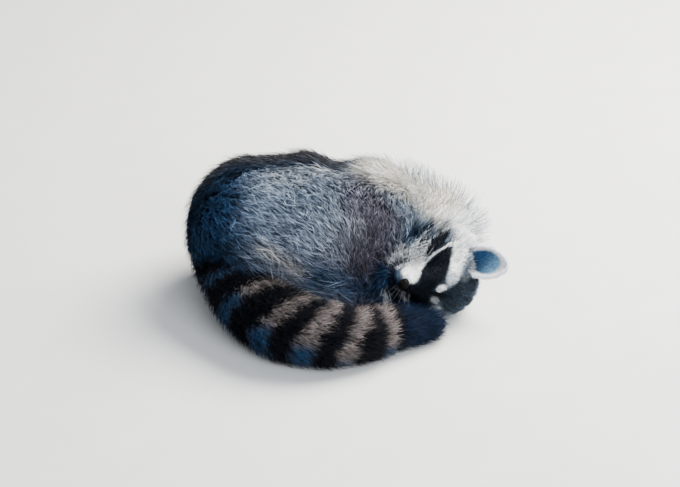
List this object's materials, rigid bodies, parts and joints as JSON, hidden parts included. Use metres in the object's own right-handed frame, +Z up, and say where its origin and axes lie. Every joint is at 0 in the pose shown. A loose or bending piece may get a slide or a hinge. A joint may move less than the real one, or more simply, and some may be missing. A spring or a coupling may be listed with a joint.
{
  "type": "sleeping raccoon model",
  "caption": "Life-size still model of a raccoon asleep in a curl, its head turned on one side with the nose tucked in and the ringed bushy tail drawn round in front of its body.",
  "frame": {"origin": "on the floor under the middle of the belly", "axes": "+Z up; +X from the rump to the head; -Y is the open side of the curl, where the tail lies"},
  "size_m": [0.4295, 0.3618, 0.1917],
  "materials": {
    "body_fur": "long grizzled grey guard hair with pale tips over a dark brown-grey base",
    "face_fur": "short dense facial fur, off-white brow and muzzle round a black mask",
    "ear_fur": "short velvety fur, pale rim and dark grey-brown inside and back",
    "tail_fur": "bushy fur in black and buff-grey rings with a black tip",
    "foot_fur": "very short grey-brown fur, dark bare soles and toe pads",
    "nose_leather": "moist pebbled black leather",
    "eye": "wet dark brown eye behind nearly closed lids"
  },
  "bodies": {
    "root": {"head": "face_fur", "ear_right": "ear_fur", "ear_left": "ear_fur", "nose": "nose_leather", "eye_right": "eye", "eye_left": "eye", "tail_1": "tail_fur", "tail_2": "tail_fur", "tail_3": "tail_fur", "tail_4": "tail_fur", "tail_5": "tail_fur", "hindfoot_right": "foot_fur", "hindfoot_left": "foot_fur", "forepaw_right": "foot_fur", "forepaw_left": "foot_fur", "leg_hind_right": "body_fur", "leg_hind_left": "body_fur", "leg_fore_right": "body_fur", "leg_fore_left": "body_fur", "neck": "body_fur", "chest": "body_fur", "abdomen": "body_fur", "rump": "body_fur"}
  },
  "joints": []
}
